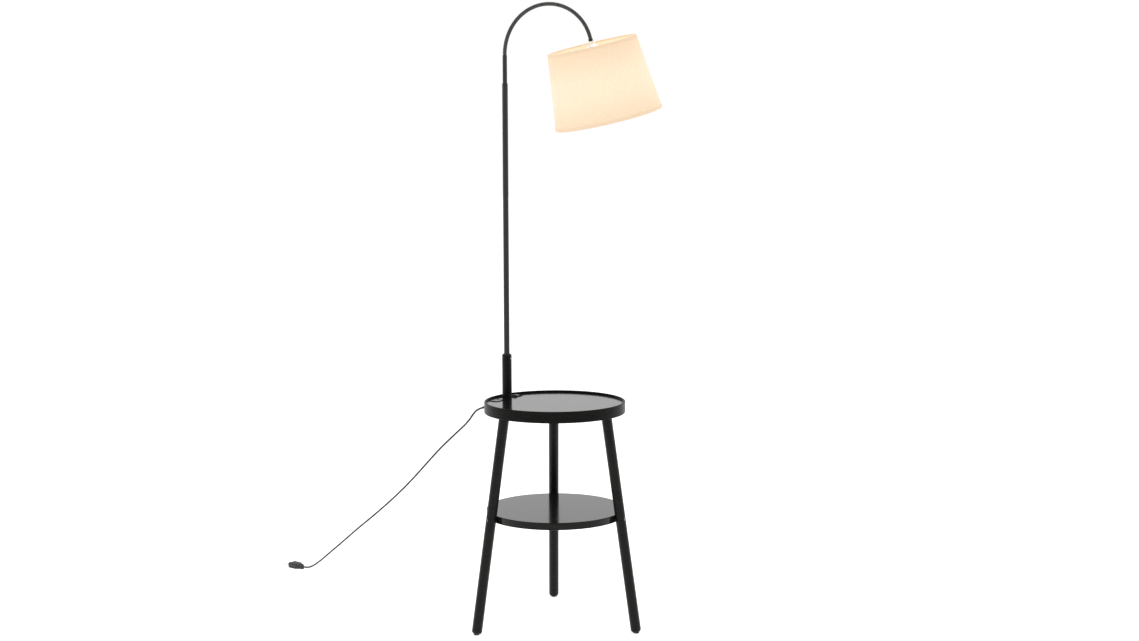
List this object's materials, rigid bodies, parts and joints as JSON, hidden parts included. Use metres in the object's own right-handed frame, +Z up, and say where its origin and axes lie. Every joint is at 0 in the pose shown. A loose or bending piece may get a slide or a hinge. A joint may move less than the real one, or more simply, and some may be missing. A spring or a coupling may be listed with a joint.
{
  "type": "shelf floor lamp",
  "caption": "Round black side table with a lower shelf and splayed legs, carrying a slim pole whose flexible neck arches over to a tapered linen reading shade.",
  "frame": {"origin": "on the floor, on the axis of the round tabletop", "axes": "+Z up, along the pole; +Y towards the rear leg; -Y towards the viewer"},
  "size_m": [1.0395, 0.7628, 1.5448],
  "materials": {
    "black_lacquered_wood": "satin black lacquer with faint grain",
    "black_painted_metal": "satin black",
    "zinc_plated_steel": "zinc plated",
    "nickel_plated_steel": "nickel plated",
    "nylon": "matt black",
    "black_plastic": "matt black",
    "black_gloss_plastic": "gloss black",
    "black_cord": "matt dark grey",
    "white_plastic": "white",
    "white_wire": "white",
    "shade_liner": "translucent white",
    "linen": "off-white woven linen",
    "bulb_cap": "plain",
    "bulb_glass": "frosted"
  },
  "bodies": {
    "table": {"table_panel": "black_lacquered_wood", "table_rim": "black_lacquered_wood", "leg_rear": "black_lacquered_wood", "leg_front_left": "black_lacquered_wood", "leg_front_right": "black_lacquered_wood", "leg_plates": "zinc_plated_steel", "plate_screws": "zinc_plated_steel", "hanger_bolts": "zinc_plated_steel", "foot_glides": "nylon", "shelf": "black_lacquered_wood", "shelf_bolts": "nickel_plated_steel", "barrel_nuts": "zinc_plated_steel", "electrics_box": "black_plastic", "box_screws": "zinc_plated_steel", "terminal_block": "black_plastic", "box_wires": "black_cord", "inner_lead": "black_cord", "cord_clamp": "nylon", "clamp_screws": "zinc_plated_steel", "usb_body": "black_plastic", "usb_face": "black_plastic", "usb_ports": "nickel_plated_steel", "switch_body": "black_plastic", "switch_bezel": "black_plastic", "strain_relief": "black_cord", "mains_cord": "black_cord", "plug_body": "black_cord", "plug_pins": "nickel_plated_steel", "socket_tube": "black_painted_metal", "socket_nut": "zinc_plated_steel", "socket_washer": "zinc_plated_steel", "socket_bush": "nylon", "pole_seat": "nylon", "set_screws": "zinc_plated_steel"},
    "pole": {"lower_pole": "black_painted_metal", "pole_coupling": "black_painted_metal", "upper_tube": "black_painted_metal", "pole_lead": "black_cord", "lower_ferrule": "black_painted_metal"},
    "neck_1": {"neck_link_1": "black_painted_metal"},
    "neck_2": {"neck_link_2": "black_painted_metal"},
    "neck_3": {"neck_link_3": "black_painted_metal"},
    "neck_4": {"neck_link_4": "black_painted_metal"},
    "neck_5": {"neck_link_5": "black_painted_metal"},
    "neck_6": {"neck_link_6": "black_painted_metal"},
    "neck_7": {"neck_link_7": "black_painted_metal"},
    "neck_8": {"neck_link_8": "black_painted_metal"},
    "head": {"upper_ferrule": "black_painted_metal", "lampholder_cap": "white_plastic", "lampholder_shell": "white_plastic", "lampholder_contact": "white_plastic", "shade_nut": "white_plastic", "shade_spider": "white_wire", "shade_bottom_ring": "white_wire", "shade_liner": "shade_liner", "shade_fabric": "linen", "shade_trims": "linen", "bulb_cap": "bulb_cap", "bulb_glass": "bulb_glass"},
    "rocker": {"switch_rocker": "black_gloss_plastic"}
  },
  "joints": [
    {"name": "pole_swivel", "type": "hinge", "parent": "table", "child": "pole", "pos_m": [-0.11867, 0.07707, 0.66], "axis": [0, 0, 1], "range_deg": [-170, 170]},
    {"name": "neck_bend", "type": "hinge", "parent": "pole", "child": "neck_1", "pos_m": [-0.11867, 0.07707, 1.412], "axis": [0.3827, -0.9239, 0], "range_deg": [-2.6, 4.4]},
    {"name": "neck_bend_2", "type": "hinge", "parent": "neck_1", "child": "neck_2", "pos_m": [-0.11222, 0.07974, 1.4544], "axis": [0.3827, -0.9239, 0], "range_deg": [-2.6, 4.4]},
    {"name": "neck_bend_3", "type": "hinge", "parent": "neck_2", "child": "neck_3", "pos_m": [-0.09341, 0.08753, 1.49222], "axis": [0.3827, -0.9239, 0], "range_deg": [-2.6, 4.4]},
    {"name": "neck_bend_4", "type": "hinge", "parent": "neck_3", "child": "neck_4", "pos_m": [-0.06402, 0.0997, 1.52108], "axis": [0.3827, -0.9239, 0], "range_deg": [-2.6, 4.4]},
    {"name": "neck_bend_5", "type": "hinge", "parent": "neck_4", "child": "neck_5", "pos_m": [-0.0273, 0.11492, 1.5373], "axis": [0.3827, -0.9239, 0], "range_deg": [-2.6, 4.4]},
    {"name": "neck_bend_6", "type": "hinge", "parent": "neck_5", "child": "neck_6", "pos_m": [0.01234, 0.13133, 1.53849], "axis": [0.3827, -0.9239, 0], "range_deg": [-2.6, 4.4]},
    {"name": "neck_bend_7", "type": "hinge", "parent": "neck_6", "child": "neck_7", "pos_m": [0.04967, 0.1468, 1.52406], "axis": [0.3827, -0.9239, 0], "range_deg": [-2.6, 4.4]},
    {"name": "neck_bend_8", "type": "hinge", "parent": "neck_7", "child": "neck_8", "pos_m": [0.07933, 0.15908, 1.49562], "axis": [0.3827, -0.9239, 0], "range_deg": [-2.6, 4.4]},
    {"name": "neck_bend_9", "type": "hinge", "parent": "neck_8", "child": "head", "pos_m": [0.09662, 0.16624, 1.45705], "axis": [0.3827, -0.9239, 0], "range_deg": [-2.6, 4.4]},
    {"name": "switch_rock", "type": "hinge", "parent": "table", "child": "rocker", "pos_m": [-0.09798, 0.10894, 0.5525], "axis": [0.8387, -0.5446, 0], "range_deg": [0, 14]}
  ]
}
